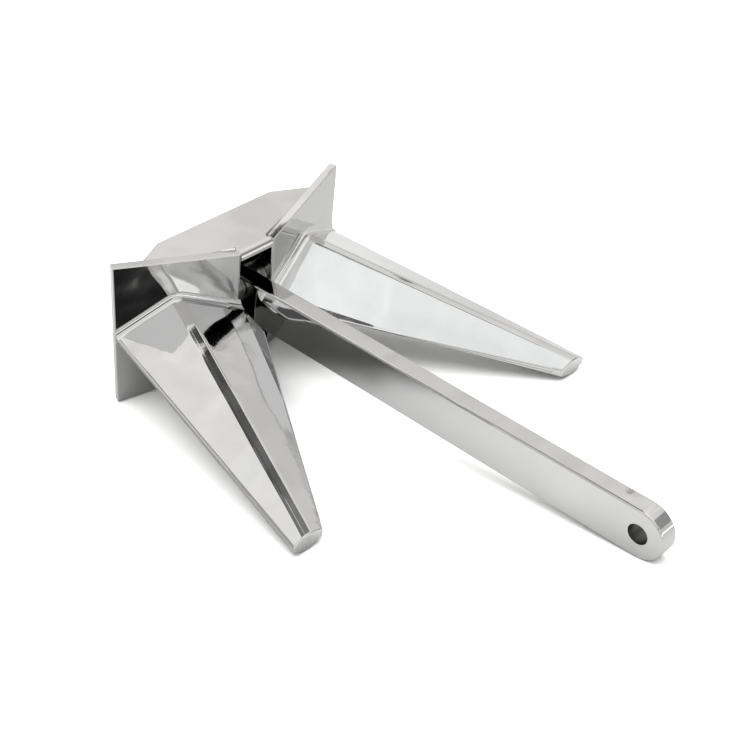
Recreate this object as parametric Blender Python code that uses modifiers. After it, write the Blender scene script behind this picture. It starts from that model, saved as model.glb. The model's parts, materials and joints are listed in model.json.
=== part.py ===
"""Fluke anchor with a tilting head: a welded crown and two hollow flukes that swing on a flat-bar shank.

Lengths are in metres and angles in degrees.  The head is drawn in its own frame: X along the crown
pin, Y forward to the fluke tips, Z square to the flukes' middle plane, with Y = 0 at the front of the
wing plates' outer edges.  The world frame is the floor that the anchor lies on: it touches the wing
plates' bottom corners, the fluke tips and the shank's end.
"""

import math

import bmesh
import bpy
from mathutils import Matrix, Vector

COLLECTION = "fluke_anchor"

# Clearances and plate thicknesses
GAP = 0.0003
PLATE = 0.008
THIN_PLATE = 0.006
FLUKE_WALL = 0.006
WEB = 0.005

# Crown, in the head's frame
WING_REACH = 0.128
WING_HALF_HEIGHT = 0.075
SLOT_HALF_WIDTH = 0.018
SWEEP = 0.036
CROWN_HALF_HEIGHT = 0.0605
CROWN_SIDE = 0.107
CROWN_BACK = 0.0222
CROWN_BACK_HALF = 0.0646
NOSE_RADIUS = 0.006
NOSE_STEPS = 8

# Flukes, in the head's frame
RIDGE_ROOT = Vector((0.075, 0.0, 0.029))
RIDGE_HALF = 0.004
OUTER_EDGE_HALF = 0.0024
INNER_ROOT_HALF = 0.0042
TIP = 0.2777
TIP_OUTER = Vector((0.173, TIP, 0.0033))
TIP_RIDGE = Vector((0.1583, TIP, 0.0086))
TIP_INNER = Vector((0.1431, TIP, 0.0))
TIP_CAP = 0.008
SOLID_TIP = 0.040
KNEE = Vector((0.0225, 0.0733, 0.0012))
GUSSET_END = Vector((0.0756, 0.1632, 0.0010))

# Crown pin and its fittings
PIVOT = Vector((0.0, 0.008, 0.0))
PIN_RADIUS = 0.010
PIN_PLAY = 0.0003
BOSS_RADIUS = 0.017
BOSS_LENGTH = 0.010
PIN_CAP = 0.004
SPACER_RADIUS = 0.0145

# Shank
SHANK_WIDTH = 0.0170
SHANK_DEPTH = 0.0440
SHANK_LENGTH = 0.4560
EYE_RADIUS = 0.0087
SHANK_EDGE = 0.0018
SEAT_RADIUS = 0.0155
SEAT_DEPTH = 0.0004

# Modelling
ROUND_SIDES = 48
EDGE_STEPS = 2
EDGE_ANGLE = 20.0
ROUND_PROFILE = 0.5
BLOCK_SIZE = 2.0
SAME_POINT = 1e-6
SAME_PLANE = 0.001
FAR = 0.010

# Points inside the convex pieces on the +X side, which tell each plane which side to keep
IN_FLUKE = Vector((0.110, 0.150, 0.0))
IN_GUSSET = Vector((0.040, 0.080, 0.0))
IN_CROWN = Vector((0.040, 0.0, 0.0))
IN_WING = Vector((0.070, 0.015, 0.0))

# Finishes: colour and roughness
POLISHED = ((0.80, 0.80, 0.79), 0.06)
TURNED = ((0.62, 0.62, 0.60), 0.25)


def new_material(name, finish):
    colour, roughness = finish
    material = bpy.data.materials.new(name)
    material.use_nodes = True
    shader = material.node_tree.nodes["Principled BSDF"]
    shader.inputs["Base Color"].default_value = (*colour, 1.0)
    shader.inputs["Roughness"].default_value = roughness
    shader.inputs["Metallic"].default_value = 1.0
    return material


def clear_scene():
    for item in list(bpy.data.objects):
        bpy.data.objects.remove(item, do_unlink=True)


def wing_line(x, behind=0.0):
    """Y of the wing plates' front face at x, or of a face that far behind it."""
    slope = SWEEP / (SLOT_HALF_WIDTH - WING_REACH)
    return slope * (x - WING_REACH) - behind * math.hypot(1.0, slope)


def plane_through(a, b, c, inside):
    """The half-space bounded by three points, on the side that holds the point inside."""
    normal = (b - a).cross(c - a).normalized()
    if (inside - a).dot(normal) > 0.0:
        normal.negate()
    return a.copy(), normal


def upright_plane(a, b, inside):
    return plane_through(a, b, a + Vector((0.0, 0.0, 1.0)), inside)


def axis_plane(axis, value, outward):
    point = Vector()
    point[axis] = value
    normal = Vector()
    normal[axis] = outward
    return point, normal


def grown(planes, distance):
    return [(point + normal * distance, normal) for point, normal in planes]


def half_space_mesh(name, planes):
    """The convex solid that all the half-spaces share, cut from one block."""
    mesh_data = bmesh.new()
    bmesh.ops.create_cube(mesh_data, size=BLOCK_SIZE)
    for point, normal in planes:
        geometry = mesh_data.verts[:] + mesh_data.edges[:] + mesh_data.faces[:]
        bmesh.ops.bisect_plane(mesh_data, geom=geometry, plane_co=point, plane_no=normal, clear_outer=True)
        rim = [edge for edge in mesh_data.edges if edge.is_boundary]
        bmesh.ops.holes_fill(mesh_data, edges=rim, sides=0)
    bmesh.ops.remove_doubles(mesh_data, verts=mesh_data.verts[:], dist=SAME_POINT)
    bmesh.ops.recalc_face_normals(mesh_data, faces=mesh_data.faces[:])
    mesh = bpy.data.meshes.new(name)
    mesh_data.to_mesh(mesh)
    mesh_data.free()
    return mesh


def outline_mesh(name, corners, low, high):
    """A flat outline in the XY plane, made solid from the height low to the height high."""
    curve = bpy.data.curves.new(name, "CURVE")
    curve.dimensions = "2D"
    curve.fill_mode = "BOTH"
    curve.extrude = (high - low) / 2.0
    spline = curve.splines.new("POLY")
    spline.points.add(len(corners) - 1)
    for point, corner in zip(spline.points, corners):
        point.co = (corner[0], corner[1], 0.0, 1.0)
    spline.use_cyclic_u = True
    holder = bpy.data.objects.new(name, curve)
    bpy.context.scene.collection.objects.link(holder)
    evaluated = holder.evaluated_get(bpy.context.evaluated_depsgraph_get())
    mesh = bpy.data.meshes.new_from_object(evaluated)
    bpy.data.objects.remove(holder, do_unlink=True)
    mesh_data = bmesh.new()
    mesh_data.from_mesh(mesh)
    bmesh.ops.remove_doubles(mesh_data, verts=mesh_data.verts[:], dist=SAME_POINT)
    bmesh.ops.dissolve_limit(mesh_data, angle_limit=SAME_PLANE, verts=mesh_data.verts[:],
                             edges=mesh_data.edges[:])
    bmesh.ops.translate(mesh_data, verts=mesh_data.verts[:], vec=(0.0, 0.0, (low + high) / 2.0))
    bmesh.ops.recalc_face_normals(mesh_data, faces=mesh_data.faces[:])
    mesh_data.to_mesh(mesh)
    mesh_data.free()
    return mesh


def round_bar_mesh(name, radius, start, end, centre):
    """A cylinder along X from start to end."""
    mesh_data = bmesh.new()
    spot = Vector(((start + end) / 2.0, centre.y, centre.z))
    place = Matrix.Translation(spot) @ Matrix.Rotation(math.pi / 2.0, 4, "Y")
    bmesh.ops.create_cone(mesh_data, cap_ends=True, segments=ROUND_SIDES, radius1=radius, radius2=radius,
                          depth=abs(end - start), matrix=place)
    mesh = bpy.data.meshes.new(name)
    mesh_data.to_mesh(mesh)
    mesh_data.free()
    return mesh


def mirrored_mesh(mesh, name, axis):
    """A copy of a mesh, mirrored in the plane square to the axis through the origin."""
    mesh_data = bmesh.new()
    mesh_data.from_mesh(mesh)
    normal = Vector()
    normal[axis] = 1.0
    bmesh.ops.transform(mesh_data, matrix=Matrix.Scale(-1.0, 4, normal), verts=mesh_data.verts[:])
    bmesh.ops.reverse_faces(mesh_data, faces=mesh_data.faces[:])
    copy = bpy.data.meshes.new(name)
    mesh_data.to_mesh(copy)
    mesh_data.free()
    return copy


class Bench:
    """Holds the collections and places the pieces under the frame that each belongs to."""

    def __init__(self):
        self.parts = bpy.data.collections.new(COLLECTION)
        self.cutters = bpy.data.collections.new(COLLECTION + "_cutters")
        for collection in (self.parts, self.cutters):
            bpy.context.scene.collection.children.link(collection)

    def frame(self, name, matrix, parent=None):
        empty = bpy.data.objects.new(name, None)
        self.parts.objects.link(empty)
        empty.parent = parent
        empty.matrix_local = matrix
        return empty

    def piece(self, name, mesh, parent, finish=POLISHED, edge=0.0):
        item = bpy.data.objects.new(name, mesh)
        mesh.materials.clear()
        mesh.materials.append(new_material(name + "_steel", finish))
        self.parts.objects.link(item)
        item.parent = parent
        if edge:
            bevel = item.modifiers.new("rounded_edges", "BEVEL")
            bevel.width = edge
            bevel.segments = EDGE_STEPS
            bevel.limit_method = "ANGLE"
            bevel.angle_limit = math.radians(EDGE_ANGLE)
        return item

    def cut(self, item, mesh, name, before_rounding=True):
        """Takes the mesh away from the item, before or after its edges are rounded."""
        cutter = bpy.data.objects.new(name, mesh)
        self.cutters.objects.link(cutter)
        cutter.parent = item.parent
        cutter.hide_render = True
        cutter.display_type = "WIRE"
        boolean = item.modifiers.new(name, "BOOLEAN")
        boolean.operation = "DIFFERENCE"
        boolean.object = cutter
        if before_rounding:
            item.modifiers.move(len(item.modifiers) - 1, 0)


def fluke_planes(root_offset, tip):
    """The half-spaces of one whole fluke on the +X side, upper and lower slopes alike."""
    outer_root = Vector((WING_REACH, 0.0, OUTER_EDGE_HALF))
    ridge_outer = RIDGE_ROOT + Vector((RIDGE_HALF, 0.0, 0.0))
    ridge_outer.y = wing_line(ridge_outer.x)
    ridge_inner = RIDGE_ROOT - Vector((RIDGE_HALF, 0.0, 0.0))
    ridge_inner.y = wing_line(ridge_inner.x)
    inner_root = Vector((SLOT_HALF_WIDTH, SWEEP, INNER_ROOT_HALF))
    tip_inner_ridge = TIP_RIDGE - Vector((RIDGE_HALF, 0.0, 0.0))
    slopes = [
        plane_through(outer_root, ridge_outer, TIP_OUTER, IN_FLUKE),
        plane_through(ridge_inner, inner_root, tip_inner_ridge, IN_FLUKE),
        plane_through(ridge_outer, ridge_inner, TIP_RIDGE, IN_FLUKE),
    ]
    mirror = Matrix.Scale(-1.0, 3, Vector((0.0, 0.0, 1.0)))
    slopes += [(mirror @ point, mirror @ normal) for point, normal in slopes]
    outer_tip = TIP_OUTER.copy()
    outer_tip.z = 0.0
    edges = [
        upright_plane(Vector((WING_REACH, 0.0, 0.0)), outer_tip, IN_FLUKE),
        upright_plane(KNEE, TIP_INNER, IN_FLUKE),
        axis_plane(0, SLOT_HALF_WIDTH, -1.0),
    ]
    root_a = Vector((WING_REACH, wing_line(WING_REACH) + root_offset, 0.0))
    root_b = Vector((SLOT_HALF_WIDTH, wing_line(SLOT_HALF_WIDTH) + root_offset, 0.0))
    ends = [upright_plane(root_a, root_b, IN_FLUKE), axis_plane(1, tip, 1.0)]
    return slopes, edges, ends


def make_flukes(bench, head):
    seam = axis_plane(2, GAP / 2.0, -1.0)
    body_end = TIP - TIP_CAP - GAP
    slopes, edges, ends = fluke_planes(GAP, body_end)
    inside_ends = fluke_planes(-PLATE, TIP - SOLID_TIP)[2]
    hollow_planes = grown(slopes + edges, -FLUKE_WALL) + inside_ends
    solid = half_space_mesh("fluke_half", slopes + edges + ends + [seam])
    hollow = half_space_mesh("fluke_hollow", hollow_planes + [axis_plane(2, -FAR, -1.0)])
    cap_planes = slopes + edges + [axis_plane(1, TIP, 1.0), axis_plane(1, TIP - TIP_CAP, -1.0)]
    cap = half_space_mesh("fluke_cap", cap_planes)
    web = half_space_mesh("fluke_web", web_planes(slopes, edges))
    gusset = half_space_mesh("fluke_gusset", gusset_planes())
    body_grown = half_space_mesh("fluke_grown", grown(slopes + edges, GAP) + ends)
    for side, axis_flip in (("left", False), ("right", True)):
        def sided(mesh, name):
            return mirrored_mesh(mesh, name, 0) if axis_flip else mesh.copy()
        for level in ("upper", "lower"):
            name = f"fluke_{level}_{side}"
            shape = sided(solid, name)
            space = sided(hollow, name + "_hollow")
            if level == "lower":
                shape = mirrored_mesh(shape, name, 2)
                space = mirrored_mesh(space, name + "_hollow", 2)
            bench.cut(bench.piece(name, shape, head), space, name + "_hollow")
        bench.piece(f"fluke_tip_cap_{side}", sided(cap, "cap"), head)
        bench.piece(f"fluke_web_{side}", sided(web, "web"), head, TURNED)
        plate = bench.piece(f"fluke_gusset_{side}", sided(gusset, "gusset"), head)
        bench.cut(plate, sided(body_grown, "grown"), f"fluke_gusset_{side}_side")


def web_planes(slopes, edges):
    """An upright plate under the ridge, inside both shells."""
    root = Vector((RIDGE_ROOT.x, wing_line(RIDGE_ROOT.x), 0.0))
    end = Vector((TIP_RIDGE.x, TIP, 0.0))
    across = Vector((end.y - root.y, root.x - end.x, 0.0)).normalized() * (WEB / 2.0)
    sides = [
        upright_plane(root + across, end + across, root),
        upright_plane(root - across, end - across, root),
    ]
    ends = fluke_planes(GAP, TIP - SOLID_TIP - GAP)[2]
    return grown(slopes + edges, -FLUKE_WALL - GAP) + sides + ends


def gusset_planes():
    """A tapered plate in the middle plane that fills the corner between fluke, wing plate and slot."""
    slot_root = Vector((SLOT_HALF_WIDTH, SWEEP, INNER_ROOT_HALF))
    far_root = Vector((WING_REACH, GAP, 0.0))
    near_root = Vector((SLOT_HALF_WIDTH, SWEEP + GAP, 0.0))
    under_shell = Vector((FLUKE_WALL, 0.0, 0.0))
    top_point, top_normal = plane_through(slot_root, KNEE, GUSSET_END, IN_GUSSET)
    flip = Vector((1.0, 1.0, -1.0))
    return [
        (top_point, top_normal),
        (top_point * flip, top_normal * flip),
        upright_plane(slot_root, KNEE, IN_GUSSET),
        upright_plane(KNEE, TIP_INNER, IN_GUSSET),
        upright_plane(near_root, far_root, IN_GUSSET),
        upright_plane(slot_root + under_shell * 2.0, GUSSET_END + under_shell, IN_GUSSET),
        axis_plane(1, GUSSET_END.y, 1.0),
    ]


def wing_planes():
    """A plate square to the middle plane, swept forward to the slot and tallest at its outer edge."""
    outer_front = Vector((WING_REACH, 0.0, 0.0))
    slot_front = Vector((SLOT_HALF_WIDTH, SWEEP, 0.0))
    along = (slot_front - outer_front).normalized()
    back = Vector((-along.y, along.x, 0.0))
    if back.y > 0.0:
        back.negate()
    planes = [
        upright_plane(outer_front, slot_front, IN_WING),
        upright_plane(outer_front + back * PLATE, slot_front + back * PLATE, IN_WING),
        upright_plane(outer_front, outer_front + back, IN_WING),
        axis_plane(0, SLOT_HALF_WIDTH, -1.0),
    ]
    for level in (1.0, -1.0):
        outer_corner = outer_front + Vector((0.0, 0.0, level * WING_HALF_HEIGHT))
        slot_corner = slot_front + Vector((0.0, 0.0, level * CROWN_HALF_HEIGHT))
        planes.append(plane_through(outer_corner, slot_corner, outer_corner + back, IN_WING))
    return planes


def behind_wings():
    """The half-space behind the back face of the wing plate on the +X side."""
    a = Vector((WING_REACH, wing_line(WING_REACH, PLATE) - GAP, 0.0))
    b = Vector((SLOT_HALF_WIDTH, wing_line(SLOT_HALF_WIDTH, PLATE) - GAP, 0.0))
    return upright_plane(a, b, IN_CROWN)


def crown_outline():
    """The crown plates' shape from above: a tongue in the slot, swept front edges and cut corners."""
    tongue = SLOT_HALF_WIDTH - GAP
    half = [
        (tongue, SWEEP),
        (tongue, wing_line(tongue, PLATE) - GAP),
        (CROWN_SIDE, wing_line(CROWN_SIDE, PLATE) - GAP),
        (CROWN_BACK_HALF, -CROWN_BACK),
    ]
    return half + [(-x, y) for x, y in reversed(half)]


def round_nose(mesh):
    """Rounds the outer edge of a crown plate's tongue, where the shank passes under it."""
    mesh_data = bmesh.new()
    mesh_data.from_mesh(mesh)
    edge_point = Vector((0.0, SWEEP, CROWN_HALF_HEIGHT))
    nose = [
        edge for edge in mesh_data.edges
        if all((corner.co - edge_point).yz.length < SAME_POINT for corner in edge.verts)
    ]
    bmesh.ops.bevel(mesh_data, geom=nose, offset=NOSE_RADIUS, segments=NOSE_STEPS, profile=ROUND_PROFILE,
                    affect="EDGES")
    mesh_data.to_mesh(mesh)
    mesh_data.free()


def corner_planes(inset):
    """The upright face along the crown's cut corner on the +X side, moved in by the inset."""
    a = Vector((CROWN_SIDE, wing_line(CROWN_SIDE, PLATE) - GAP, 0.0))
    b = Vector((CROWN_BACK_HALF, -CROWN_BACK, 0.0))
    point, normal = upright_plane(a, b, IN_CROWN)
    return point - normal * inset, normal


def make_crown(bench, head):
    inner = CROWN_HALF_HEIGHT - PLATE - GAP
    levels = [axis_plane(2, inner, 1.0), axis_plane(2, -inner, -1.0)]
    outline = crown_outline()
    top = outline_mesh("crown_plate", outline, CROWN_HALF_HEIGHT - PLATE, CROWN_HALF_HEIGHT)
    round_nose(top)
    bench.piece("crown_top_plate", top, head)
    bench.piece("crown_bottom_plate", mirrored_mesh(top, "crown_bottom_plate", 2), head)
    back_inner = -CROWN_BACK + THIN_PLATE
    corner_point, corner_normal = corner_planes(THIN_PLATE + GAP)
    flip = Vector((-1.0, 1.0, 1.0))
    back = levels + [axis_plane(1, -CROWN_BACK, -1.0), axis_plane(1, back_inner, 1.0)]
    back += [(corner_point, corner_normal), (corner_point * flip, corner_normal * flip)]
    bench.piece("crown_back_plate", half_space_mesh("crown_back_plate", back), head)
    closing_inner = corner_planes(THIN_PLATE)
    closing = levels + [
        corner_planes(0.0),
        (closing_inner[0], -closing_inner[1]),
        behind_wings(),
        axis_plane(1, -CROWN_BACK, -1.0),
    ]
    cheek = levels + [
        axis_plane(0, SLOT_HALF_WIDTH, -1.0),
        axis_plane(0, SLOT_HALF_WIDTH + PLATE, 1.0),
        behind_wings(),
        axis_plane(1, back_inner + GAP, -1.0),
    ]
    plates = {
        "wing_plate": half_space_mesh("wing_plate", wing_planes()),
        "crown_corner_plate": half_space_mesh("crown_corner_plate", closing),
        "slot_cheek": half_space_mesh("slot_cheek", cheek),
    }
    pin_hole = round_bar_mesh("pin_hole", PIN_RADIUS + PIN_PLAY, -WING_REACH, WING_REACH, PIVOT)
    for name, mesh in plates.items():
        for side in ("left", "right"):
            shape = mesh.copy() if side == "left" else mirrored_mesh(mesh, name, 0)
            item = bench.piece(f"{name}_{side}", shape, head)
            if name == "slot_cheek":
                bench.cut(item, pin_hole.copy(), f"{name}_{side}_bore")


def make_pin(bench, head):
    """The crown pin, the blocks that carry it, the caps that keep it in and the shank's spacers."""
    boss_start = SLOT_HALF_WIDTH + PLATE + GAP
    boss_end = boss_start + BOSS_LENGTH
    pin = round_bar_mesh("crown_pin", PIN_RADIUS, -boss_end, boss_end, PIVOT)
    bench.piece("crown_pin", pin, head, TURNED)
    pin_hole = round_bar_mesh("pin_hole", PIN_RADIUS + PIN_PLAY, -WING_REACH, WING_REACH, PIVOT)
    rings = {
        "pin_boss": (BOSS_RADIUS, boss_start, boss_end, True),
        "pin_cap": (BOSS_RADIUS, boss_end + GAP, boss_end + GAP + PIN_CAP, False),
        "shank_spacer": (SPACER_RADIUS, SHANK_WIDTH / 2.0 - SEAT_DEPTH + GAP, SLOT_HALF_WIDTH - GAP, True),
    }
    for name, (radius, start, end, bored) in rings.items():
        ring = round_bar_mesh(name, radius, start, end, PIVOT)
        if name != "shank_spacer":
            ring = flattened(ring, name, behind_wings())
        for side in ("left", "right"):
            shape = ring.copy() if side == "left" else mirrored_mesh(ring, name, 0)
            item = bench.piece(f"{name}_{side}", shape, head, TURNED)
            if bored:
                bench.cut(item, pin_hole.copy(), f"{name}_{side}_bore")


def flattened(mesh, name, plane):
    """The mesh with whatever lies beyond the plane cut off."""
    mesh_data = bmesh.new()
    mesh_data.from_mesh(mesh)
    geometry = mesh_data.verts[:] + mesh_data.edges[:] + mesh_data.faces[:]
    bmesh.ops.bisect_plane(mesh_data, geom=geometry, plane_co=plane[0], plane_no=plane[1], clear_outer=True)
    bmesh.ops.holes_fill(mesh_data, edges=[edge for edge in mesh_data.edges if edge.is_boundary], sides=0)
    cut = bpy.data.meshes.new(name)
    mesh_data.to_mesh(cut)
    mesh_data.free()
    return cut


def make_shank(bench, hinge):
    """A flat bar with round ends, which runs along +Y from its pin hole; a shallow seat takes each spacer."""
    radius = SHANK_DEPTH / 2.0
    steps = ROUND_SIDES // 2
    outline = []
    for centre, first in ((SHANK_LENGTH, -90.0), (0.0, 90.0)):
        for step in range(steps + 1):
            angle = math.radians(first + 180.0 * step / steps)
            outline.append((centre + radius * math.cos(angle), radius * math.sin(angle)))
    bar = outline_mesh("shank", outline, -SHANK_WIDTH / 2.0, SHANK_WIDTH / 2.0)
    upright = Matrix(((0.0, 0.0, 1.0, 0.0), (1.0, 0.0, 0.0, 0.0), (0.0, 1.0, 0.0, 0.0), (0.0, 0.0, 0.0, 1.0)))
    bar.transform(upright)
    shank = bench.piece("shank", bar, hinge, edge=SHANK_EDGE)
    pin_axis = Vector()
    eye_axis = Vector((0.0, SHANK_LENGTH, 0.0))
    eye = round_bar_mesh("shackle_eye", EYE_RADIUS, -SHANK_WIDTH, SHANK_WIDTH, eye_axis)
    bench.cut(shank, eye, "shackle_eye")
    bore = round_bar_mesh("pin_bore", PIN_RADIUS + PIN_PLAY, -SHANK_WIDTH, SHANK_WIDTH, pin_axis)
    bench.cut(shank, bore, "pin_bore", before_rounding=False)
    seat_floor = SHANK_WIDTH / 2.0 - SEAT_DEPTH
    for side, way in (("left", 1.0), ("right", -1.0)):
        seat = round_bar_mesh("spacer_seat", SEAT_RADIUS, way * seat_floor, way * SHANK_WIDTH, pin_axis)
        bench.cut(shank, seat, f"spacer_seat_{side}", before_rounding=False)


def tip_ridge_bottom():
    """The lowest corner of the fluke tip: where the outer slope meets the ridge strip's underside."""
    slopes, edges, ends = fluke_planes(0.0, TIP)
    corners = half_space_mesh("tip_probe", slopes + edges + ends)
    tips = [vertex.co.copy() for vertex in corners.vertices if vertex.co.y > TIP - GAP]
    bpy.data.meshes.remove(corners)
    return min(tips, key=lambda corner: math.atan2(corner.z + WING_HALF_HEIGHT, corner.y))


def main():
    clear_scene()
    bench = Bench()
    tip = tip_ridge_bottom()
    tilt = math.atan2(tip.z + WING_HALF_HEIGHT, tip.y)
    turn = Matrix.Rotation(-tilt, 4, "X")
    floor_corner = turn @ Vector((0.0, 0.0, -WING_HALF_HEIGHT))
    pivot_height = (turn @ PIVOT).z - floor_corner.z
    shank_drop = math.asin((pivot_height - SHANK_DEPTH / 2.0) / SHANK_LENGTH)
    back = (turn @ Vector((0.0, -CROWN_BACK, -CROWN_HALF_HEIGHT))).y
    front = (turn @ PIVOT).y + SHANK_LENGTH * math.cos(shank_drop) + SHANK_DEPTH / 2.0
    place = Matrix.Translation((0.0, -(back + front) / 2.0, -floor_corner.z))
    head = bench.frame("head_frame", place @ turn)
    pivot_world = place @ turn @ PIVOT
    hinge = bench.frame("shank_hinge", Matrix.Translation(pivot_world) @ Matrix.Rotation(-shank_drop, 4, "X"))
    make_crown(bench, head)
    make_pin(bench, head)
    make_flukes(bench, head)
    make_shank(bench, hinge)


main()
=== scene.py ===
"""Looks of the fluke anchor: polished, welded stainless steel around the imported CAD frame.

Lengths are in metres and angles in degrees, in the frame's own axes: +X along the crown pin, +Y along
the shank to its shackle eye, +Z up from the floor.  "left" is the side of +X.  Each welded plate is its
CAD node's shape with its seams closed and its free edges rounded.  The shank, the turned rings and the
polished weld fillets are new meshes, placed by the frame.
"""

import json
import math

import bmesh
import bpy
from mathutils import Matrix, Vector
from mathutils.bvhtree import BVHTree
from mathutils.geometry import intersect_plane_plane


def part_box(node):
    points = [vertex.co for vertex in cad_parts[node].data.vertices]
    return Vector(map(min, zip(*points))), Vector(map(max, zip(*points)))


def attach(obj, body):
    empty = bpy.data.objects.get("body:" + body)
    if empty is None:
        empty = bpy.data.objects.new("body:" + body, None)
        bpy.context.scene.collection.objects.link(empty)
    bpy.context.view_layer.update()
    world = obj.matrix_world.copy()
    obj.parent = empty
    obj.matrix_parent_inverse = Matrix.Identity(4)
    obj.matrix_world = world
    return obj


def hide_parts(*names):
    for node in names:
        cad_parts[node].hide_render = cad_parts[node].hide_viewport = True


# Camera: where it stands, how it is turned, and its lens in millimetres
CAMERA_PLACE = (0.67032, 0.70576, 0.67055)
CAMERA_YAW = 137.973
CAMERA_PITCH = -31.979
CAMERA_ROLL = -5.089
CAMERA_LENS = 67.6

# The record's material slots, which give two of the materials their names
POLISHED = "polished_stainless"
TURNED = "turned_stainless"

# Welded plates: the walls close their seams first, then the plates that lie over them
SIDES = ("left", "right")
SIDE_SIGNS = (("left", 1.0), ("right", -1.0))
WELDED = [f"{name}_{side}" for name in ("slot_cheek", "crown_corner_plate") for side in SIDES]
WELDED += ["crown_back_plate"]
WELDED += [f"wing_plate_{side}" for side in SIDES]
WELDED += [f"{name}_{side}" for name in ("fluke_upper", "fluke_lower", "fluke_gusset") for side in SIDES]
WELDED += [f"fluke_tip_cap_{side}" for side in SIDES]
WELDED += ["crown_top_plate", "crown_bottom_plate"]

# Seams: how far off a neighbour may be, the gap that is left, and the share of samples that must meet it
SEAM_REACH = 0.0006
SEAM_LEFT = 0.00002
SEAM_SHARE = 0.6
SEAM_SAMPLES = (0.15, 0.4, 0.6, 0.85)

# Rounded edges: radii by the first word of a plate's name, and the wider one of the wings' slot ends
EDGE_RADIUS = {"crown": 0.0014, "slot": 0.0010, "wing": 0.0009, "fluke": 0.0018}
SLOT_RADIUS = 0.0030
SLOT_REACH = 0.0190
SLOT_UPRIGHT = 0.9
ROUND_ANGLE = 18.0
SMOOTH_ANGLE = 36.0
EDGE_STEPS = 5
FLAT_WEIGHT = 100

# Flat faces: corners and planes that count as one, and how squarely a face must look a given way
SAME_POINT = 1e-5
SAME_PLANE = 0.004
FACES_WAY = 0.5
FACES_UP = 0.3

# Weld fillets: radii at the fluke roots and on the crown, the arc's steps and how deep the root sinks
ROOT_WELD = 0.0065
CROWN_WELD = 0.0030
WELD_STEPS = 10
WELD_SINK = 0.0008

# Shank: edge radii of the outline and of the bores' rims, which lie within BORE_SHARE of the bar's half
# height; the eye's faces reach EYE_REACH past its radius
SHANK_EDGE = 0.0046
BORE_EDGE = 0.0006
BORE_SHARE = 0.7
EYE_RADIUS = 0.0087
EYE_REACH = 0.0012
EYE_SIDEWAYS = 0.5
PIN_BORE = 0.0103
END_STEPS = 96

# Turned rings, and how squarely a tip cap's face must look along the fluke to count as its ground end
RING_CHAMFER = 0.0006
RING_STEPS = 96
END_FACE = 0.97

# Finishes: a noise is (scale, detail, roughness), the grain is one of scale 1 over stretched places, the
# tints and the roughness are ranges, and depths are bump heights.  Without a blotch the grain tints the
# steel.  MIDDLE is the part of a noise's range that it mostly keeps to.
MIDDLE = (0.3, 0.7)
POLISHED_FINISH = {
    "wave": (16.0, 1.0, 0.4), "wave_depth": 0.0024, "ripple": (70.0, 2.0, 0.5), "ripple_depth": 0.00007,
    "stretch": (900.0, 60.0, 900.0), "grain": (1.0, 2.0, 0.6), "depth": 0.0000035,
    "haze": (38.0, 4.0, 0.6), "tints": ((0.650, 0.652, 0.656), (0.690, 0.687, 0.680)),
    "roughness": (0.035, 0.085),
}
GROUND_FINISH = {
    "stretch": (1600.0, 120.0, 120.0), "grain": (1.0, 3.0, 0.6), "blotch": (90.0, 3.0, 0.6),
    "tints": ((0.62, 0.62, 0.61), (0.88, 0.88, 0.87)), "roughness": (0.24, 0.42), "depth": 0.00003,
}
# Painted shade: the drilled eye's bore is darkened almost to black, far below the steel's own colour
EYE_BORE_PAINTED_SHADE_FINISH = {
    "stretch": (1800.0, 30.0, 30.0), "grain": (1.0, 3.0, 0.6), "blotch": None,
    "tints": ((0.05, 0.05, 0.05), (0.20, 0.20, 0.19)), "roughness": (0.30, 0.50), "depth": 0.00008,
}
TURNED_FINISH = {
    "stretch": (2600.0, 14.0, 14.0), "grain": (1.0, 2.0, 0.5), "blotch": (120.0, 3.0, 0.6),
    "tints": ((0.42, 0.42, 0.41), (0.54, 0.54, 0.52)), "roughness": (0.2, 0.34), "depth": 0.00003,
}

# A colour Mix node names its colour sockets as it does its number sockets, so they go by index
MIX_FIRST, MIX_SECOND, MIX_RESULT = 6, 7, 2

# Floors: the table's greys by Y, a grey floor's tone with painted shade darkening it near the crown, and the share
# of them that is kept by X, which paints a shadow beside the left fluke
FLOOR_SIZE = 60.0
FLOOR_PATCHES = (3.0, 2.0, 0.5)
FLOOR_GREYS = (0.905, 0.93)
# Painted shade: the greys dip near the crown, where the anchor shades the floor
TABLE_GREYS_AND_SHADE = (
    (-0.6, 0.47), (-0.2, 0.38), (0.05, 0.47), (0.15, 0.51),
    (0.3, 0.43), (0.46, 0.33), (0.56, 0.63), (0.7, 0.8),
)
# Painted shadow: beside the left fluke the table keeps only 0.7 of its greys
TABLE_PAINTED_SHADOW = ((0.0, 1.0), (0.12, 1.0), (0.16, 0.70), (0.50, 0.70), (0.60, 1.0))
TABLE_LIFT = 0.0003

# Tent: its brightness and tint by height, its folds, and the overhead light
SKY_LEVELS = ((0.0, 0.60), (0.60, 0.65), (0.82, 0.84), (0.97, 0.97))
SKY_TINT = ((0.0, (1.0, 0.99, 0.97)), (0.84, (1.0, 0.988, 0.965)), (0.94, (0.985, 1.0, 1.0)))
TENT_FOLDS = (11.0, 2.0, 0.5)
TENT_RANGE = (0.90, 1.07)
LIGHT_SPREAD = 80.0
LIGHT_POWER = 3.0
STUDIO_POWER = 1.27

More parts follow.
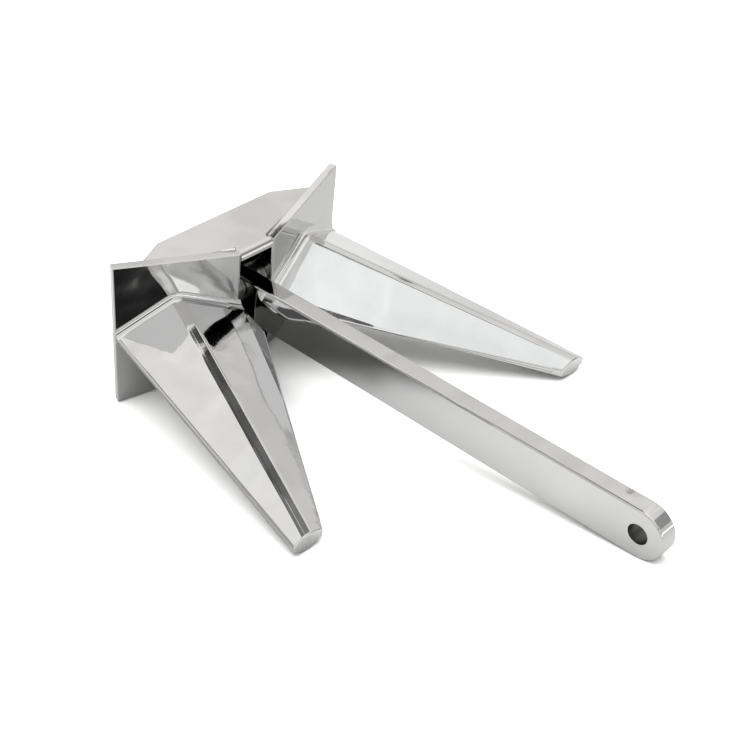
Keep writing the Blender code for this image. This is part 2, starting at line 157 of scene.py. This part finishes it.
# Cards, in degrees as seen from the anchor: azimuth from +Y towards +X, elevation, roll, width and height,
# and then the levels at both ends of the width
CARD_DISTANCE = 20.0
CARDS = {
    "strip_card": (-157.0, 68.3, -5.0, 41.0, 8.6, 0.06, 0.12),
    "ridge_card": (-112.2, 60.3, 24.8, 18.0, 7.4, 0.03, 0.28),
    "glow_card": (44.0, 33.0, 0.0, 14.0, 9.0, 0.86, 0.86),
    "upper_strip_card": (-165.9, 74.8, 3.9, 33.0, 7.5, 0.16, 0.20),
    "gusset_card": (-112.0, 41.2, 0.0, 6.0, 3.4, 0.15, 0.15),
    "camera_card": (35.5, 16.5, 0.0, 15.0, 12.0, 0.015, 0.015),
    "front_card": (-5.0, 9.5, 0.0, 50.0, 9.0, 0.70, 0.25),
    "front_glow": (14.0, 17.0, 0.0, 26.0, 6.0, 1.0, 1.0),
    "left_card": (-49.0, 26.0, 0.0, 34.0, 28.0, 0.30, 0.30),
    "wing_card": (-18.0, 48.3, 0.0, 8.0, 7.0, 0.48, 0.48),
    "weld_glow": (-28.3, 22.8, 0.0, 6.0, 9.0, 1.0, 1.0),
    "right_card": (77.0, 32.0, 0.0, 16.0, 8.0, 0.28, 0.28),
    "side_card": (114.0, 41.0, 0.0, 8.0, 8.0, 0.28, 0.28),
    "side_glow": (105.0, 20.8, 0.0, 12.0, 7.5, 0.90, 0.90),
    "slot_card": (96.0, 28.5, 0.0, 8.0, 8.0, 0.04, 0.04),
    "high_card": (119.0, 73.0, 0.0, 14.0, 14.0, 0.10, 0.10),
    "edge_card": (134.0, 43.0, 0.0, 20.0, 18.0, 0.05, 0.05),
    "low_card": (126.0, 7.0, 0.0, 16.0, 13.0, 0.06, 0.06),
    "back_card": (149.0, 28.0, 0.0, 8.0, 14.0, 0.30, 0.30),
}


def head_up():
    """The direction square to the flukes' middle plane, which the crown's top face states."""
    mounts = {mount["name"]: mount for mount in frame["record"]["mounts"]}
    return Vector(mounts["crown_top_face"]["axis"]).normalized()


def joint_place():
    """The middle of the crown pin, which the shank swings on."""
    return Vector(frame["joints"][0]["pos_m"])


def eye_place():
    """The middle of the shackle eye."""
    low, high = frame["record"]["physics"]["openings"][0]["box_m"]
    return (Vector(low) + Vector(high)) / 2.0


# ---------------------------------------------------------------- node materials

class Graph:
    """A short way to write a material's or world's node tree."""

    def __init__(self, owner):
        owner.use_nodes = True
        self.tree = owner.node_tree
        self.tree.nodes.clear()

    def node(self, kind, **values):
        made = self.tree.nodes.new(kind)
        for key, value in values.items():
            if hasattr(made, key):
                setattr(made, key, value)
            else:
                self.plug(value, made.inputs[key.replace("_", " ")])
        return made

    def plug(self, value, socket):
        if isinstance(value, bpy.types.NodeSocket):
            self.tree.links.new(value, socket)
        else:
            socket.default_value = value

    def noise(self, vector, scale, detail, roughness):
        made = self.node("ShaderNodeTexNoise", Scale=scale, Detail=detail, Roughness=roughness)
        self.plug(vector, made.inputs["Vector"])
        return made.outputs["Fac"]

    def stretched(self, vector, scale):
        made = self.node("ShaderNodeMapping")
        made.inputs["Scale"].default_value = scale
        self.plug(vector, made.inputs["Vector"])
        return made.outputs["Vector"]

    def mapped(self, value, low, high, start=0.0, end=1.0):
        made = self.node("ShaderNodeMapRange")
        for name, number in (("From Min", start), ("From Max", end), ("To Min", low), ("To Max", high)):
            made.inputs[name].default_value = number
        self.plug(value, made.inputs["Value"])
        return made.outputs["Result"]

    def ramp(self, value, levels):
        """Greys or colours at places from 0 to 1, joined by straight lines."""
        made = self.node("ShaderNodeValToRGB")
        points = made.color_ramp.elements
        while len(points) < len(levels):
            points.new(1.0)
        for point, (place, level) in zip(points, levels):
            point.position = place
            point.color = (*level, 1.0) if isinstance(level, tuple) else (level, level, level, 1.0)
        self.plug(value, made.inputs["Fac"])
        return made.outputs["Color"]

    def bump(self, height, distance, normal=None):
        made = self.node("ShaderNodeBump", Strength=1.0, Distance=distance)
        self.plug(height, made.inputs["Height"])
        if normal is not None:
            self.plug(normal, made.inputs["Normal"])
        return made.outputs["Normal"]

    def blended(self, factor, first, second, **values):
        made = self.node("ShaderNodeMix", data_type="RGBA", **values)
        self.plug(factor, made.inputs["Factor"])
        self.plug(first, made.inputs[MIX_FIRST])
        self.plug(second, made.inputs[MIX_SECOND])
        return made.outputs[MIX_RESULT]

    def times(self, first, second):
        return self.blended(1.0, first, second, blend_type="MULTIPLY")

    def tinted(self, factor, tints):
        """A colour between two tints."""
        low, high = tints
        return self.blended(factor, (*low, 1.0), (*high, 1.0))

    def finish(self, surface, kind="ShaderNodeOutputMaterial"):
        self.plug(surface, self.node(kind).inputs["Surface"])


def metal_material(name, surface_of, finish):
    """A metal whose colour, roughness and normal are worked out by surface_of(graph, place, finish)."""
    material = bpy.data.materials.new(name)
    graph = Graph(material)
    place = graph.node("ShaderNodeTexCoord").outputs["Object"]
    colour, roughness, normal = surface_of(graph, place, finish)
    shader = graph.node("ShaderNodeBsdfPrincipled", Metallic=1.0)
    graph.plug(colour, shader.inputs["Base Color"])
    graph.plug(roughness, shader.inputs["Roughness"])
    graph.plug(normal, shader.inputs["Normal"])
    graph.finish(shader.outputs["BSDF"])
    return material


def grain_of(graph, place, finish):
    return graph.noise(graph.stretched(place, finish["stretch"]), *finish["grain"])


def polished_surface(graph, place, finish):
    """Mirror-polished stainless steel: hand-buffed, so slightly wavy, with faint haze and hairlines."""
    haze = graph.noise(place, *finish["haze"])
    normal = graph.bump(graph.noise(place, *finish["wave"]), finish["wave_depth"])
    normal = graph.bump(graph.noise(place, *finish["ripple"]), finish["ripple_depth"], normal)
    normal = graph.bump(grain_of(graph, place, finish), finish["depth"], normal)
    return graph.tinted(haze, finish["tints"]), graph.mapped(haze, *finish["roughness"], *MIDDLE), normal


def machined_surface(graph, place, finish):
    """Ground or turned stainless steel, satin with fine grain; the drilled eye's bore uses it too, darkened almost
    to black as painted shade.
    """
    grain = grain_of(graph, place, finish)
    blotch = graph.noise(place, *finish["blotch"]) if finish["blotch"] else grain
    roughness = graph.mapped(grain, *finish["roughness"], *MIDDLE)
    return graph.tinted(blotch, finish["tints"]), roughness, graph.bump(grain, finish["depth"])


# ---------------------------------------------------------------- mesh tools

def new_piece(name, mesh_data, body, material, nodes=()):
    """A visual piece that rides a body and stands for the CAD nodes it names."""
    mesh = bpy.data.meshes.new(name)
    mesh_data.to_mesh(mesh)
    mesh_data.free()
    mesh.materials.append(material)
    piece = bpy.data.objects.new(name, mesh)
    bpy.context.scene.collection.objects.link(piece)
    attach(piece, body)
    if nodes:
        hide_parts(*nodes)
    return piece


def plain_faces(node):
    """A CAD node's mesh with its triangles joined into whole flat faces."""
    mesh_data = bmesh.new()
    mesh_data.from_mesh(frame["nodes"][node].data)
    bmesh.ops.remove_doubles(mesh_data, verts=mesh_data.verts[:], dist=SAME_POINT)
    bmesh.ops.dissolve_limit(mesh_data, angle_limit=SAME_PLANE, verts=mesh_data.verts[:],
                             edges=mesh_data.edges[:])
    bmesh.ops.recalc_face_normals(mesh_data, faces=mesh_data.faces[:])
    return mesh_data


def nearest_gap(point, trees):
    """How far off the nearest neighbour is, or None if all are out of reach."""
    gaps = [tree.find_nearest(point, SEAM_REACH)[3] for tree in trees]
    gaps = [gap for gap in gaps if gap is not None]
    return min(gaps) if gaps else None


def face_samples(face):
    centre = face.calc_center_median()
    return [centre.lerp(corner.co, share) for corner in face.verts for share in SEAM_SAMPLES]


def edge_samples(edge):
    return [edge.verts[0].co.lerp(edge.verts[1].co, share) for share in SEAM_SAMPLES]


def seam_gap(samples, trees):
    """The mean gap to the neighbours if enough of the samples lie against one, or else None."""
    gaps = [nearest_gap(sample, trees) for sample in samples]
    found = [gap for gap in gaps if gap is not None]
    if len(found) < SEAM_SHARE * len(samples):
        return None
    return sum(found) / len(found)


def close_seams(meshes):
    """Moves each plate's welded faces up to the neighbour they are welded to."""
    trees = {name: BVHTree.FromBMesh(mesh_data) for name, mesh_data in meshes.items()}
    for name, mesh_data in meshes.items():
        others = [tree for other, tree in trees.items() if other != name]
        moves = []
        for face in mesh_data.faces:
            gap = seam_gap(face_samples(face), others)
            if gap is not None and gap > SEAM_LEFT:
                moves.append((face, face.normal * (gap - SEAM_LEFT)))
        for face, move in moves:
            bmesh.ops.translate(mesh_data, verts=face.verts[:], vec=move)
        mesh_data.normal_update()
        trees[name] = BVHTree.FromBMesh(mesh_data)
    return trees


def edge_radius(name, edge):
    """A plate's own radius, or the wide one where a wing plate ends upright beside the slot."""
    ends = [corner.co for corner in edge.verts]
    if name.startswith("wing") and all(abs(end.x) < SLOT_REACH for end in ends):
        upright = abs((ends[1] - ends[0]).normalized().dot(head_up()))
        if upright > SLOT_UPRIGHT:
            return SLOT_RADIUS
    return EDGE_RADIUS[name.split("_")[0]]


def round_edges(piece, radii):
    """Rounds the edges that carry a radius, then shades the piece so that flat faces stay flat."""
    mesh = piece.data
    largest = max(radii.values())
    weights = mesh.attributes.new("bevel_weight_edge", "FLOAT", "EDGE")
    for index, radius in radii.items():
        weights.data[index].value = radius / largest
    mesh.shade_smooth()
    bevel = piece.modifiers.new("rounded_edges", "BEVEL")
    bevel.limit_method = "WEIGHT"
    bevel.width = largest
    bevel.segments = EDGE_STEPS
    bevel.loop_slide = True
    apply_modifiers(piece)
    shade(piece)


def refinish(piece, material, wanted):
    """Gives the faces picked by wanted(face) another finish."""
    piece.data.materials.append(material)
    for face in piece.data.polygons:
        if wanted(face):
            face.material_index = 1


def apply_modifiers(piece):
    evaluated = piece.evaluated_get(bpy.context.evaluated_depsgraph_get())
    mesh = bpy.data.meshes.new_from_object(evaluated)
    piece.modifiers.clear()
    piece.data = mesh


def shade(piece):
    """Smooth shading that leaves flat faces flat and corners sharp."""
    piece.data.shade_smooth()
    piece.data.set_sharp_from_angle(angle=math.radians(SMOOTH_ANGLE))
    weighted = piece.modifiers.new("flat_faces", "WEIGHTED_NORMAL")
    weighted.mode = "FACE_AREA"
    weighted.weight = FLAT_WEIGHT
    weighted.keep_sharp = True
    apply_modifiers(piece)


def free_edges(name, mesh_data, others):
    """The radius of each outward edge that no neighbour touches, by the edge's index."""
    mesh_data.edges.index_update()
    radii = {}
    for edge in mesh_data.edges:
        if len(edge.link_faces) != 2 or not edge.is_convex:
            continue
        if edge.calc_face_angle() < math.radians(ROUND_ANGLE):
            continue
        if seam_gap(edge_samples(edge), others) is None:
            radii[edge.index] = edge_radius(name, edge)
    return radii


# ---------------------------------------------------------------- welded head

def make_plates(steel, ground):
    """The welded plates, as pieces; gives their meshes from before the rounding."""
    meshes = {name: plain_faces(name) for name in WELDED}
    trees = close_seams(meshes)
    for name, mesh_data in meshes.items():
        others = [tree for other, tree in trees.items() if other != name]
        radii = free_edges(name, mesh_data, others)
        piece = new_piece(name + "_skin", mesh_data.copy(), "head", steel, [name])
        round_edges(piece, radii)
        if name.startswith("fluke_tip_cap"):
            faces = piece.data.polygons
            end = max(faces, key=lambda face: face.area * max(face.normal.y, 0.0)).normal.copy()
            refinish(piece, ground, lambda face: face.normal.dot(end) > END_FACE)
    return meshes


def main_face(mesh_data, direction):
    """The place and normal of the largest flat face that looks the given way."""
    faces = [face for face in mesh_data.faces if face.normal.dot(direction) > FACES_WAY]
    face = max(faces, key=lambda each: each.calc_area() * each.normal.dot(direction))
    return face.verts[0].co.copy(), face.normal.copy()


def slope_faces(mesh_data, up, side):
    """The fluke's outer slope, ridge strip and inner slope, from the outer edge to the slot."""
    faces = [face for face in mesh_data.faces if face.normal.dot(up) > FACES_UP]
    faces.sort(key=lambda each: -side * each.normal.x)
    return [(face.verts[0].co.copy(), face.normal.copy()) for face in faces]


def meeting_point(first, second, third):
    """The point that three planes share, each a place and a normal."""
    spot, way = intersect_plane_plane(first[0], first[1], second[0], second[1])
    return spot + way * ((third[0] - spot).dot(third[1]) / way.dot(third[1]))


def weld_profile(way, first, second, radius):
    """Offsets from the corner line to the fillet's arc, which touches both faces, and to its sunk root."""
    reach = radius / (1.0 + first.dot(second))
    centre = (first + second) * reach
    turn = first.angle(second)
    offsets = [-(first + second).normalized() * WELD_SINK]
    for step in range(WELD_STEPS + 1):
        share = step / WELD_STEPS
        spoke = first * math.sin((1.0 - share) * turn) + second * math.sin(share * turn)
        offsets.append(centre - spoke * (radius / math.sin(turn)))
    return [offset - way * offset.dot(way) for offset in offsets]


def weld_mesh(base, slopes, corners, radius, ends):
    """A fillet along the corners where the base face meets each slope in turn, cut by the end planes."""
    ways = [(b - a).normalized() for a, b in zip(corners, corners[1:])]
    profiles = [weld_profile(way, base[1], slope[1], radius) for way, slope in zip(ways, slopes)]
    rings = [[corners[0] - ways[0] * radius + offset for offset in profiles[0]]]
    for index in range(1, len(ways)):
        mitre = (ways[index - 1] + ways[index]).normalized()
        ring = []
        for before, after in zip(profiles[index - 1], profiles[index]):
            slid_before = before - ways[index - 1] * (before.dot(mitre) / ways[index - 1].dot(mitre))
            slid_after = after - ways[index] * (after.dot(mitre) / ways[index].dot(mitre))
            ring.append(corners[index] + (slid_before + slid_after) / 2.0)
        rings.append(ring)
    rings.append([corners[-1] + ways[-1] * radius + offset for offset in profiles[-1]])
    mesh_data = bmesh.new()
    loops = [[mesh_data.verts.new(point) for point in ring] for ring in rings]
    count = len(loops[0])
    for before, after in zip(loops, loops[1:]):
        for index in range(count):
            following = (index + 1) % count
            mesh_data.faces.new((before[index], before[following], after[following], after[index]))
    mesh_data.faces.new(loops[0])
    mesh_data.faces.new(reversed(loops[-1]))
    for place, normal in ends:
        geometry = mesh_data.verts[:] + mesh_data.edges[:] + mesh_data.faces[:]
        bmesh.ops.bisect_plane(mesh_data, geom=geometry, plane_co=place, plane_no=normal, clear_outer=True)
        rim = [edge for edge in mesh_data.edges if edge.is_boundary]
        bmesh.ops.holes_fill(mesh_data, edges=rim, sides=0)
    bmesh.ops.recalc_face_normals(mesh_data, faces=mesh_data.faces[:])
    return mesh_data


def add_weld(name, mesh_data, steel):
    shade(new_piece(name, mesh_data, "head", steel))


def make_root_welds(meshes, steel):
    """The polished weld where each fluke shell runs into its wing plate."""
    for side, way in SIDE_SIGNS:
        wing = meshes[f"wing_plate_{side}"]
        across = Vector((way, 0.0, 0.0))
        front = main_face(wing, Vector((0.0, 1.0, 0.0)))
        slot_end = main_face(wing, -across)
        for level, up in (("upper", head_up()), ("lower", -head_up())):
            shell = meshes[f"fluke_{level}_{side}"]
            band = main_face(shell, across)
            slopes = slope_faces(shell, up, way)
            bounds = [band, *slopes, slot_end]
            corners = [meeting_point(front, a, b) for a, b in zip(bounds, bounds[1:])]
            mesh_data = weld_mesh(front, slopes, corners, ROOT_WELD, [band, slot_end])
            add_weld(f"root_weld_{level}_{side}", mesh_data, steel)


def make_crown_welds(meshes, steel):
    """The small weld where each wing plate stands proud of the crown plates."""
    for side, way in SIDE_SIGNS:
        wing = meshes[f"wing_plate_{side}"]
        across = Vector((way, 0.0, 0.0))
        outwards = Vector((way, -1.0, 0.0)).normalized()
        back = main_face(wing, Vector((0.0, -1.0, 0.0)))
        slot_end = main_face(wing, -across)
        for level, up in (("top", head_up()), ("bottom", -head_up())):
            plate = main_face(meshes[f"crown_{level}_plate"], up)
            corner_wall = main_face(meshes[f"crown_corner_plate_{side}"], outwards)
            corners = [meeting_point(back, plate, corner_wall), meeting_point(back, plate, slot_end)]
            mesh_data = weld_mesh(back, [plate], corners, CROWN_WELD, [corner_wall, slot_end])
            add_weld(f"crown_weld_{level}_{side}", mesh_data, steel)


# ---------------------------------------------------------------- shank and rings

def ring_points(centre, radius, count):
    angles = [math.tau * step / count for step in range(count)]
    return [(centre + radius * math.cos(angle), radius * math.sin(angle)) for angle in angles]


def flat_outline(loops, half):
    """A 2D curve of closed loops, holes among them, as a solid from -half to +half."""
    curve = bpy.data.curves.new("outline", "CURVE")
    curve.dimensions = "2D"
    curve.fill_mode = "BOTH"
    curve.extrude = half
    for points in loops:
        spline = curve.splines.new("POLY")
        spline.points.add(len(points) - 1)
        for target, (x, y) in zip(spline.points, points):
            target.co = (x, y, 0.0, 1.0)
        spline.use_cyclic_u = True
    holder = bpy.data.objects.new("outline", curve)
    bpy.context.scene.collection.objects.link(holder)
    evaluated = holder.evaluated_get(bpy.context.evaluated_depsgraph_get())
    mesh_data = bmesh.new()
    mesh_data.from_mesh(bpy.data.meshes.new_from_object(evaluated))
    bpy.data.objects.remove(holder, do_unlink=True)
    bmesh.ops.remove_doubles(mesh_data, verts=mesh_data.verts[:], dist=SAME_POINT)
    bmesh.ops.dissolve_limit(mesh_data, angle_limit=SAME_PLANE, verts=mesh_data.verts[:],
                             edges=mesh_data.edges[:])
    bmesh.ops.recalc_face_normals(mesh_data, faces=mesh_data.faces[:])
    return mesh_data


def shank_edge_radius(edge, centres, reach):
    """Wide on the bar's outline, fine on the rims of its two bores."""
    flat = [Vector((0.0, end.y, end.z)) for end in (corner.co for corner in edge.verts)]
    near = min((point - Vector((0.0, centre.y, centre.z))).length for point in flat for centre in centres)
    return BORE_EDGE if near < BORE_SHARE * reach else SHANK_EDGE


def in_the_eye(face, eye):
    """Whether a face of the bar belongs to the shackle eye's bore or its rounded rims."""
    centre = Vector(face.center)
    sideways = abs(face.normal.x) < EYE_SIDEWAYS
    return sideways and (centre - eye - Vector((centre.x, 0.0, 0.0))).length < EYE_RADIUS + EYE_REACH


def make_shank(steel, eye_bore_shade):
    """The flat bar: round ends, rounded edges, the pin's bore and the drilled shackle eye, whose bore and rims are
    darkened as painted shade.
    """
    pivot = joint_place()
    eye = eye_place()
    low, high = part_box("shank")
    radius = eye.z - low.z
    half = (high.x - low.x) / 2.0
    length = (eye - pivot).length
    outline = []
    for centre, first in ((length, -90.0), (0.0, 90.0)):
        for step in range(END_STEPS // 2 + 1):
            angle = math.radians(first + 180.0 * step / (END_STEPS // 2))
            outline.append((centre + radius * math.cos(angle), radius * math.sin(angle)))
    loops = [outline, ring_points(length, EYE_RADIUS, END_STEPS), ring_points(0.0, PIN_BORE, END_STEPS)]
    mesh_data = flat_outline(loops, half)
    along = (eye - pivot).normalized()
    across = Vector((1.0, 0.0, 0.0))
    turn = Matrix((along, across.cross(along), across)).transposed().to_4x4()
    bmesh.ops.transform(mesh_data, matrix=Matrix.Translation(pivot) @ turn, verts=mesh_data.verts[:])
    rims = [edge for edge in mesh_data.edges if edge.calc_face_angle(0.0) > math.radians(ROUND_ANGLE)]
    mesh_data.edges.index_update()
    radii = {edge.index: shank_edge_radius(edge, (pivot, eye), radius) for edge in rims}
    shank = new_piece("shank_bar", mesh_data, "shank", steel, ["shank"])
    round_edges(shank, radii)
    # Painted shade: the eye's bore and rims take the near-black finish
    refinish(shank, eye_bore_shade, lambda face: in_the_eye(face, eye))


def make_spacers(turned):
    """Rings that centre the shank in the slot, turned with a chamfer on each rim."""
    pivot = joint_place()
    hub = Vector((0.0, pivot.y, pivot.z))
    for side in SIDES:
        name = f"shank_spacer_{side}"
        low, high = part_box(name)
        outer = (high.z - low.z) / 2.0
        profile = [
            (low.x + RING_CHAMFER, PIN_BORE), (low.x, PIN_BORE + RING_CHAMFER),
            (low.x, outer - RING_CHAMFER), (low.x + RING_CHAMFER, outer),
            (high.x - RING_CHAMFER, outer), (high.x, outer - RING_CHAMFER),
            (high.x, PIN_BORE + RING_CHAMFER), (high.x - RING_CHAMFER, PIN_BORE),
        ]
        mesh_data = bmesh.new()
        loops = []
        for step in range(RING_STEPS):
            angle = math.tau * step / RING_STEPS
            spoke = Vector((0.0, math.cos(angle), math.sin(angle)))
            loops.append([mesh_data.verts.new(hub + Vector((x, 0.0, 0.0)) + spoke * r) for x, r in profile])
        for index, loop in enumerate(loops):
            following = loops[(index + 1) % RING_STEPS]
            for corner in range(len(profile)):
                after = (corner + 1) % len(profile)
                mesh_data.faces.new((loop[corner], loop[after], following[after], following[corner]))
        bmesh.ops.recalc_face_normals(mesh_data, faces=mesh_data.faces[:])
        ring = new_piece(f"spacer_ring_{side}", mesh_data, "head", turned, [name])
        ring.data.shade_smooth()
        ring.data.set_sharp_from_angle(angle=math.radians(SMOOTH_ANGLE))


def finish_inner_nodes(turned):
    """The pin, its blocks and caps and the flukes' webs keep their CAD shape, in turned steel."""
    for name, node in frame["nodes"].items():
        if not node.hide_render:
            node.data.materials.clear()
            node.data.materials.append(turned)


# ---------------------------------------------------------------- studio

def flat_sheet(name, width, height):
    """A flat rectangle of the studio, facing up round the origin."""
    mesh_data = bmesh.new()
    bmesh.ops.create_grid(mesh_data, x_segments=1, y_segments=1, size=0.5)
    bmesh.ops.scale(mesh_data, vec=(width, height, 1.0), verts=mesh_data.verts[:])
    mesh = bpy.data.meshes.new(name)
    mesh_data.to_mesh(mesh)
    mesh_data.free()
    sheet = bpy.data.objects.new(name, mesh)
    bpy.context.scene.collection.objects.link(sheet)
    return sheet


def only_reflections_see(sheet):
    sheet.visible_camera = False
    sheet.visible_diffuse = False
    sheet.visible_shadow = False


def matt_material(name, colour_of):
    """A matt material whose colour is worked out by colour_of(graph, place)."""
    material = bpy.data.materials.new(name)
    graph = Graph(material)
    place = graph.node("ShaderNodeTexCoord").outputs["Object"]
    shader = graph.node("ShaderNodeBsdfDiffuse")
    graph.plug(colour_of(graph, place), shader.inputs["Color"])
    graph.finish(shader.outputs["BSDF"])
    return material


def floor_colour(graph, place):
    patches = graph.noise(place, *FLOOR_PATCHES)
    return graph.tinted(patches, [(grey, grey, grey) for grey in FLOOR_GREYS])


def stretched_ramp(graph, value, levels):
    """A ramp whose places are in metres rather than from 0 to 1."""
    first, last = levels[0][0], levels[-1][0]
    along = graph.mapped(value, 0.0, 1.0, first, last)
    return graph.ramp(along, [((place - first) / (last - first), level) for place, level in levels])


def table_colour(graph, place):
    """Grey levels that change along Y, darker near the crown as painted shade, and a darker band beside the left
    fluke that is a painted shadow.
    """
    split = graph.node("ShaderNodeSeparateXYZ")
    graph.plug(place, split.inputs["Vector"])
    levels = stretched_ramp(graph, split.outputs["Y"], TABLE_GREYS_AND_SHADE)
    # Painted shadow: a band beside the left fluke keeps only part of the greys
    painted_shadow = stretched_ramp(graph, split.outputs["X"], TABLE_PAINTED_SHADOW)
    return graph.times(levels, painted_shadow)


def make_floors():
    """The pale floor, and the greyer one that the steel reflects, as over a grey table, with painted shadow near
    the anchor.
    """
    floor = flat_sheet("floor", FLOOR_SIZE, FLOOR_SIZE)
    floor.data.materials.append(matt_material("pale_floor", floor_colour))
    table = flat_sheet("reflected_floor", FLOOR_SIZE, FLOOR_SIZE)
    table.location.z = TABLE_LIFT
    only_reflections_see(table)
    table.data.materials.append(matt_material("grey_table_painted_shadow", table_colour))


def make_world():
    """A white studio tent of folded cloth, brightest overhead."""
    world = bpy.data.worlds.new("studio")
    bpy.context.scene.world = world
    graph = Graph(world)
    direction = graph.node("ShaderNodeTexCoord").outputs["Generated"]
    split = graph.node("ShaderNodeSeparateXYZ")
    graph.plug(direction, split.inputs["Vector"])
    back = graph.node("ShaderNodeBackground")
    folds = graph.mapped(graph.noise(direction, *TENT_FOLDS), *TENT_RANGE, *MIDDLE)
    levels = graph.ramp(split.outputs["Z"], SKY_LEVELS)
    tint = graph.ramp(split.outputs["Z"], SKY_TINT)
    graph.plug(graph.times(graph.times(levels, folds), tint), back.inputs["Color"])
    graph.plug(STUDIO_POWER, back.inputs["Strength"])
    graph.finish(back.outputs["Background"], "ShaderNodeOutputWorld")


def make_light():
    """A wide soft light overhead, for the floor; the steel reflects the tent and its cards instead."""
    lamp = bpy.data.lights.new("overhead", "SUN")
    lamp.angle = math.radians(LIGHT_SPREAD)
    lamp.energy = LIGHT_POWER * STUDIO_POWER
    light = bpy.data.objects.new("overhead", lamp)
    light.visible_glossy = False
    bpy.context.scene.collection.objects.link(light)


def make_card(name, azimuth, elevation, roll, width, height, first, last):
    """A card that only reflections see, square to the way from the anchor, graded along its width."""
    spans = [2.0 * CARD_DISTANCE * math.tan(math.radians(angle) / 2.0) for angle in (width, height)]
    card = flat_sheet(name, *spans)
    only_reflections_see(card)
    around = math.radians(azimuth)
    above = math.radians(elevation)
    way = Vector((math.sin(around) * math.cos(above), math.cos(around) * math.cos(above), math.sin(above)))
    turn = (-way).to_track_quat("Z", "Y").to_matrix().to_4x4()
    turn @= Matrix.Rotation(math.radians(roll), 4, "Z")
    card.matrix_world = Matrix.Translation(way * CARD_DISTANCE) @ turn
    material = bpy.data.materials.new(name)
    graph = Graph(material)
    split = graph.node("ShaderNodeSeparateXYZ")
    graph.plug(graph.node("ShaderNodeTexCoord").outputs["Generated"], split.inputs["Vector"])
    glow = graph.node("ShaderNodeEmission", Strength=STUDIO_POWER)
    graph.plug(graph.ramp(split.outputs["X"], ((0.0, first), (1.0, last))), glow.inputs["Color"])
    graph.finish(glow.outputs["Emission"])
    card.data.materials.append(material)


def make_camera():
    camera = bpy.data.cameras.new("camera")
    camera.lens = CAMERA_LENS
    holder = bpy.data.objects.new("camera", camera)
    bpy.context.scene.collection.objects.link(holder)
    turn = Matrix.Rotation(math.radians(CAMERA_YAW), 4, "Z")
    turn @= Matrix.Rotation(math.radians(90.0 + CAMERA_PITCH), 4, "X")
    turn @= Matrix.Rotation(math.radians(CAMERA_ROLL), 4, "Z")
    holder.matrix_world = Matrix.Translation(CAMERA_PLACE) @ turn
    bpy.context.scene.camera = holder


def make_studio():
    """The camera, the floors, the tent with its cards, and the light."""
    make_camera()
    make_floors()
    make_world()
    make_light()
    for name, card in CARDS.items():
        make_card(name, *card)
    bpy.context.scene.view_settings.view_transform = "Standard"


def make_anchor():
    """The pieces that stand for CAD nodes, the welds, and the finish of the nodes that stay."""
    steel = metal_material(POLISHED, polished_surface, POLISHED_FINISH)
    ground = metal_material("ground_stainless", machined_surface, GROUND_FINISH)
    turned = metal_material(TURNED, machined_surface, TURNED_FINISH)
    # Painted shade inside the shackle eye, as a near-black steel
    eye_bore_shade = metal_material("eye_bore_painted_shade", machined_surface, EYE_BORE_PAINTED_SHADE_FINISH)
    plates = make_plates(steel, ground)
    make_root_welds(plates, steel)
    make_crown_welds(plates, steel)
    make_shank(steel, eye_bore_shade)
    make_spacers(turned)
    finish_inner_nodes(turned)


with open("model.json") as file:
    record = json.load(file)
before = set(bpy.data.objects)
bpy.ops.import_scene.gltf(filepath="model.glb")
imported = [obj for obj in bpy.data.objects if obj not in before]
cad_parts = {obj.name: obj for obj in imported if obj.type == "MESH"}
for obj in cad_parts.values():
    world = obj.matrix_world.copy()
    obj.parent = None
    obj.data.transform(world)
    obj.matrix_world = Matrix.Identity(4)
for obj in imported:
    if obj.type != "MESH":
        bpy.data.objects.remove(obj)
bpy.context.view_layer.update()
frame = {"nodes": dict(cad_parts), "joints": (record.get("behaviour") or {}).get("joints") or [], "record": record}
make_studio()
make_anchor()
